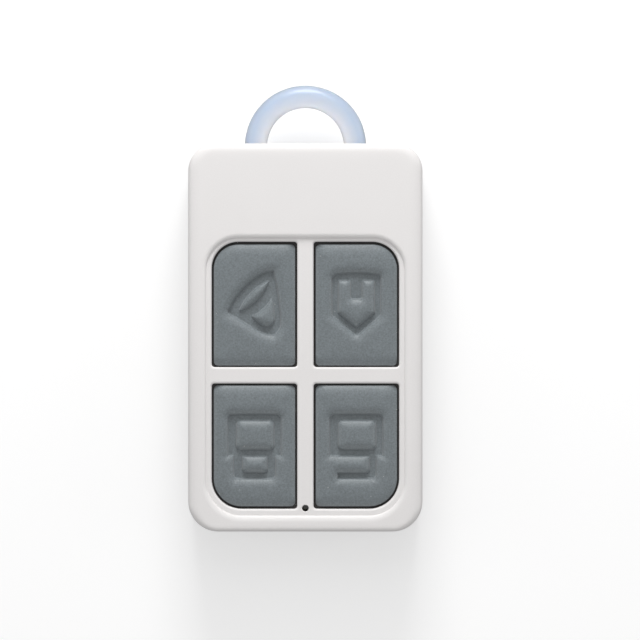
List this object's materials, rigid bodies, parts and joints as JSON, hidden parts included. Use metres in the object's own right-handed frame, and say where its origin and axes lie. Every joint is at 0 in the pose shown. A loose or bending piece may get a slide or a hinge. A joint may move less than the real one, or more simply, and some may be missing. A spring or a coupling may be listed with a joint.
{
  "type": "key fob remote control",
  "caption": "Flat rounded-rectangle remote with a recessed panel of silicone keys and a half-ring hanging loop.",
  "frame": {"origin": "centre of the back cover's flat outer face, which the remote rests on", "axes": "+Z out of the front face with the keys, +Y towards the hanging loop, +X to the right seen from the front"},
  "size_m": [0.035, 0.0669, 0.011],
  "materials": {
    "white_abs": "satin moulded ABS",
    "grey_silicone": "matte moulded silicone",
    "loop_silicone": "translucent bluish silicone",
    "green_laminate": "solder mask",
    "black_nylon": "moulded",
    "black_epoxy": "moulded",
    "ceramic": "fired ceramic",
    "tan_ceramic": "fired ceramic",
    "led_lens": "clear epoxy over a pale case",
    "copper_track": "copper under solder mask",
    "tin_plate": "tin plated",
    "nickel_sheet": "nickel plated sheet",
    "cell_steel": "nickel plated steel",
    "zinc_screw": "zinc plated"
  },
  "bodies": {
    "housing": {"front_cover": "white_abs", "back_cover": "white_abs", "hanging_loop": "loop_silicone", "keypad_web": "grey_silicone", "circuit_board": "green_laminate", "cell_can": "cell_steel", "cell_cap": "cell_steel", "battery_clip": "nickel_sheet", "battery_contact_pad": "tin_plate", "encoder_chip": "black_epoxy", "encoder_leads": "tin_plate", "radio_resonator": "ceramic", "radio_transistor": "black_epoxy", "transistor_leads": "tin_plate", "chip_resistors": "black_epoxy", "chip_capacitors": "tan_ceramic", "indicator_led": "led_lens", "antenna_track": "copper_track", "case_screws": "zinc_screw", "switch_base_bell": "black_nylon", "switch_cover_bell": "nickel_sheet", "switch_spring_bell": "nickel_sheet", "switch_terminals_bell": "tin_plate", "switch_base_home": "black_nylon", "switch_cover_home": "nickel_sheet", "switch_spring_home": "nickel_sheet", "switch_terminals_home": "tin_plate", "switch_base_lock": "black_nylon", "switch_cover_lock": "nickel_sheet", "switch_spring_lock": "nickel_sheet", "switch_terminals_lock": "tin_plate", "switch_base_unlock": "black_nylon", "switch_cover_unlock": "nickel_sheet", "switch_spring_unlock": "nickel_sheet", "switch_terminals_unlock": "tin_plate"},
    "button_bell": {"key_bell": "grey_silicone"},
    "plunger_bell": {"switch_plunger_bell": "black_nylon"},
    "button_home": {"key_home": "grey_silicone"},
    "plunger_home": {"switch_plunger_home": "black_nylon"},
    "button_lock": {"key_lock": "grey_silicone"},
    "plunger_lock": {"switch_plunger_lock": "black_nylon"},
    "button_unlock": {"key_unlock": "grey_silicone"},
    "plunger_unlock": {"switch_plunger_unlock": "black_nylon"}
  },
  "joints": [
    {"name": "press_bell", "type": "slide", "parent": "housing", "child": "button_bell", "axis": [0, 0, -1], "range_m": [0, 0.0003], "stiffness_N_per_m": 300},
    {"name": "plunger_slide_bell", "type": "slide", "parent": "housing", "child": "plunger_bell", "axis": [0, 0, -1], "range_m": [0, 0.0003], "deforming": ["switch_spring_bell"]},
    {"name": "press_home", "type": "slide", "parent": "housing", "child": "button_home", "axis": [0, 0, -1], "range_m": [0, 0.0003], "stiffness_N_per_m": 300},
    {"name": "plunger_slide_home", "type": "slide", "parent": "housing", "child": "plunger_home", "axis": [0, 0, -1], "range_m": [0, 0.0003], "deforming": ["switch_spring_home"]},
    {"name": "press_lock", "type": "slide", "parent": "housing", "child": "button_lock", "axis": [0, 0, -1], "range_m": [0, 0.0003], "stiffness_N_per_m": 300},
    {"name": "plunger_slide_lock", "type": "slide", "parent": "housing", "child": "plunger_lock", "axis": [0, 0, -1], "range_m": [0, 0.0003], "deforming": ["switch_spring_lock"]},
    {"name": "press_unlock", "type": "slide", "parent": "housing", "child": "button_unlock", "axis": [0, 0, -1], "range_m": [0, 0.0003], "stiffness_N_per_m": 300},
    {"name": "plunger_slide_unlock", "type": "slide", "parent": "housing", "child": "plunger_unlock", "axis": [0, 0, -1], "range_m": [0, 0.0003], "deforming": ["switch_spring_unlock"]}
  ],
  "couplings": [
    {"joint": "plunger_slide_bell", "follows": "press_bell", "ratio": 1},
    {"joint": "plunger_slide_home", "follows": "press_home", "ratio": 1},
    {"joint": "plunger_slide_lock", "follows": "press_lock", "ratio": 1},
    {"joint": "plunger_slide_unlock", "follows": "press_unlock", "ratio": 1}
  ]
}
